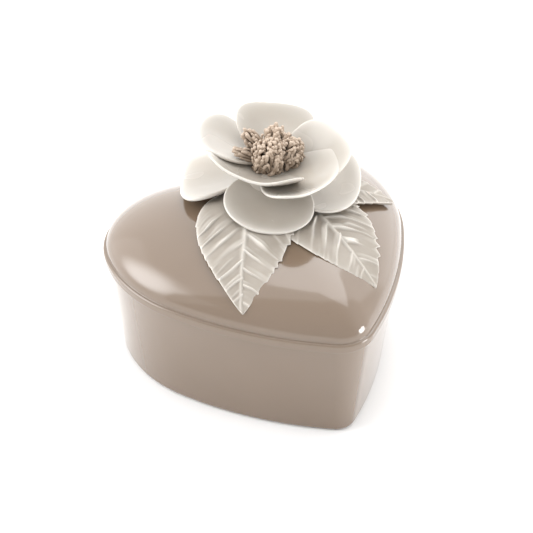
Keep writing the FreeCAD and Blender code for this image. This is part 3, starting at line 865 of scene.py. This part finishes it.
def studio_white():
    """Matt white paper for the floor."""
    material, nodes, links, shader = new_material("studio_white")
    clouds = noise_node(nodes, links, scale=3.0, detail=2.0)
    tone = ramp_node(nodes, links, clouds.outputs["Fac"],
                     [(0.3, FLOOR_WHITE), (0.7, FLOOR_PALE)])
    links.new(tone.outputs["Color"], shader.inputs["Base Color"])
    shader.inputs["Roughness"].default_value = 0.9
    shader.inputs["Specular IOR Level"].default_value = 0.1
    return material


# ---------------------------------------------------------------------------
# Stage: floor, lights and camera
# ---------------------------------------------------------------------------


# Metres and degrees. Azimuth 0 is straight in front, and 90 is to the right.
CAMERA_AZIMUTH = -29.15
CAMERA_ELEVATION = 38.37
CAMERA_DISTANCE = 0.7242
CAMERA_AIM = Vector((0.00598, 0.02094, 0.02678))
CAMERA_LENS = 121.6
CAMERA_SENSOR = 36.0

# Brightness of the surroundings, and where the lamp and the window are in them.
TENT_EDGE = 0.02
TENT_SOFTNESS = 0.03
TENT_LIGHT = 0.72
ROOM_LIGHT = 1.02
LAMP_AZIMUTH = -117
LAMP_ELEVATION = 27
LAMP_SPREAD = 29
LAMP_LIGHT = 4.9
WINDOW_AZIMUTH = 92
WINDOW_ELEVATION = 5
WINDOW_SPREAD = 76
WINDOW_CORE = 42
WINDOW_LIGHT = 1.45

FLOOR_HALF = 3000.0


def make_floor():
    """A level square floor, in millimetres like every other mesh."""
    points = [(-FLOOR_HALF, -FLOOR_HALF, 0), (FLOOR_HALF, -FLOOR_HALF, 0),
              (FLOOR_HALF, FLOOR_HALF, 0), (-FLOOR_HALF, FLOOR_HALF, 0)]
    floor = new_mesh("floor", points, [(0, 1, 2, 3)], studio_white())


def direction(azimuth, elevation):
    """Unit vector by azimuth (0 is along -Y, positive towards +X) and elevation."""
    turn = math.radians(azimuth)
    rise = math.radians(elevation)
    return Vector((math.sin(turn) * math.cos(rise), -math.cos(turn) * math.cos(rise),
                   math.sin(rise)))


def softbox(name, azimuth, elevation, distance, width, height, power):
    """A rectangular area light aimed at the lid, placed by direction."""
    light = bpy.data.lights.new(name, "AREA")
    light.shape = "RECTANGLE"
    light.size = width
    light.size_y = height
    light.energy = power
    thing = bpy.data.objects.new(name, light)
    towards = direction(azimuth, elevation)
    thing.location = Vector((0, 0, PARTING_HEIGHT * MM)) + distance * towards
    thing.rotation_euler = towards.to_track_quat("Z", "Y").to_euler()
    thing.visible_camera = False
    bpy.context.collection.objects.link(thing)
    return thing


def overhead_panel(name, right, away, height, width, depth, power):
    """A level panel overhead, squared up to the camera: its middle is right of
    and away from the camera, seen from the box."""
    turn = math.radians(CAMERA_AZIMUTH)
    thing = softbox(name, azimuth=0, elevation=90, distance=height, width=width,
                    height=depth, power=power)
    across = Vector((math.cos(turn), math.sin(turn), 0))
    beyond = Vector((-across.y, across.x, 0))
    thing.location += right * across + away * beyond
    thing.rotation_euler = (0, 0, turn)


def glow_node(nodes, links, place, centre, wide, narrow):
    """Rises smoothly from 0 to 1 as the sky's direction comes nearer to a centre
    than the wide angle, up to the narrow one."""
    dot = nodes.new("ShaderNodeVectorMath")
    dot.operation = "DOT_PRODUCT"
    links.new(place.outputs["Generated"], dot.inputs[0])
    dot.inputs[1].default_value = centre
    rise = nodes.new("ShaderNodeMapRange")
    rise.interpolation_type = "SMOOTHSTEP"
    rise.inputs["From Min"].default_value = math.cos(math.radians(wide))
    rise.inputs["From Max"].default_value = math.cos(math.radians(narrow))
    links.new(dot.outputs["Value"], rise.inputs["Value"])
    return rise


def make_world():
    """A white tent behind the box with a lamp in its left wall and a soft window
    on the right; the side in front of the box is open to a dimmer room."""
    world = bpy.data.worlds.new("studio")
    world.use_nodes = True
    nodes = world.node_tree.nodes
    links = world.node_tree.links
    place = nodes.new("ShaderNodeTexCoord")
    split = nodes.new("ShaderNodeSeparateXYZ")
    links.new(place.outputs["Generated"], split.inputs["Vector"])
    tent = nodes.new("ShaderNodeMapRange")
    tent.interpolation_type = "SMOOTHSTEP"
    tent.inputs["From Min"].default_value = TENT_EDGE - TENT_SOFTNESS
    tent.inputs["From Max"].default_value = TENT_EDGE + TENT_SOFTNESS
    links.new(split.outputs["Y"], tent.inputs["Value"])
    lamp = glow_node(nodes, links, place, direction(LAMP_AZIMUTH, LAMP_ELEVATION),
                     LAMP_SPREAD, 0)
    lamp.inputs["To Min"].default_value = TENT_LIGHT
    lamp.inputs["To Max"].default_value = LAMP_LIGHT
    window = glow_node(nodes, links, place, direction(WINDOW_AZIMUTH, WINDOW_ELEVATION),
                       WINDOW_SPREAD, WINDOW_CORE)
    window.inputs["To Min"].default_value = ROOM_LIGHT
    window.inputs["To Max"].default_value = WINDOW_LIGHT
    lit = nodes.new("ShaderNodeMath")
    lit.operation = "MULTIPLY_ADD"
    links.new(tent.outputs["Result"], lit.inputs[0])
    links.new(lamp.outputs["Result"], lit.inputs[1])
    links.new(window.outputs["Result"], lit.inputs[2])
    sky = nodes["Background"]
    sky.inputs["Color"].default_value = (1.0, 1.0, 1.0, 1.0)
    links.new(lit.outputs["Value"], sky.inputs["Strength"])
    bpy.context.scene.world = world


def make_camera():
    """A long lens that looks down at the box from the front left."""
    camera = bpy.data.cameras.new("camera")
    camera.lens = CAMERA_LENS
    camera.sensor_width = CAMERA_SENSOR
    thing = bpy.data.objects.new("camera", camera)
    back = direction(CAMERA_AZIMUTH, CAMERA_ELEVATION)
    thing.location = CAMERA_AIM + CAMERA_DISTANCE * back
    thing.rotation_euler = back.to_track_quat("Z", "Y").to_euler()
    bpy.context.collection.objects.link(thing)
    bpy.context.scene.camera = thing


# ---------------------------------------------------------------------------
# Put it together
# ---------------------------------------------------------------------------

glaze = taupe_glaze()
ivory = petal_glaze()
leaf_clay = leaf_bisque()
stamen_clay = stamen_bisque()

make_base(glaze)
make_lid(glaze)
for seed, (name, petal) in enumerate(PETALS.items(), start=20):
    make_petal(name, petal, seed, ivory)
for seed, (name, leaf) in enumerate(LEAVES.items(), start=60):
    make_leaf(name, leaf, seed, leaf_clay)
for seed, (name, clump) in enumerate(CLUMPS.items(), start=80):
    make_clump(name, clump, seed, stamen_clay)

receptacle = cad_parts["flower_receptacle"]
receptacle.data.materials.clear()
receptacle.data.materials.append(ivory)

make_floor()
make_world()
overhead_panel("overhead_panel", right=0.285, away=0.94, height=1.4, width=1.03, depth=1.5,
               power=8.8)
softbox("left_panel", azimuth=-121.0, elevation=22.0, distance=1.3, width=2.0, height=1.15,
        power=2.6)
softbox("tip_lamp", azimuth=44.0, elevation=2.0, distance=1.0, width=0.30, height=0.45,
        power=6.0)
bpy.context.scene.view_settings.view_transform = "Standard"
make_camera()
